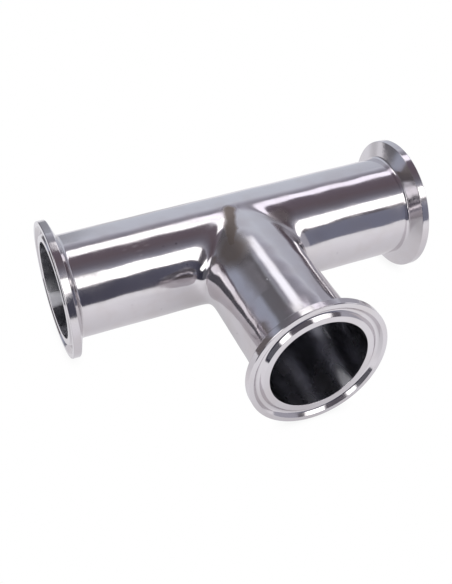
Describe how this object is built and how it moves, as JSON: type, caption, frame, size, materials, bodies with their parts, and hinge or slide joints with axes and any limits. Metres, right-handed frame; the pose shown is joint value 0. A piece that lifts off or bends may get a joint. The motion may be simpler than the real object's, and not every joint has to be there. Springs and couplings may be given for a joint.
{
  "type": "tee fitting",
  "caption": "Equal pipe tee in mirror-polished stainless steel tube, each end a welded hygienic clamp ferrule with a grooved flat face and a tapered-back flange.",
  "frame": {"origin": "where the run's axis crosses the branch's axis", "axes": "+X along the run, -Y along the branch out of its port, +Z square to both"},
  "size_m": [0.14, 0.0952, 0.0506],
  "materials": {
    "formed_tube": "mirror polished outside, satin inside",
    "turned_ferrule": "turned, then mirror polished outside",
    "ground_weld": "ground flush and mirror polished"
  },
  "bodies": {
    "root": {"tee_body": "formed_tube", "left_ferrule": "turned_ferrule", "right_ferrule": "turned_ferrule", "branch_ferrule": "turned_ferrule", "left_weld": "ground_weld", "right_weld": "ground_weld", "branch_weld": "ground_weld"}
  },
  "joints": []
}
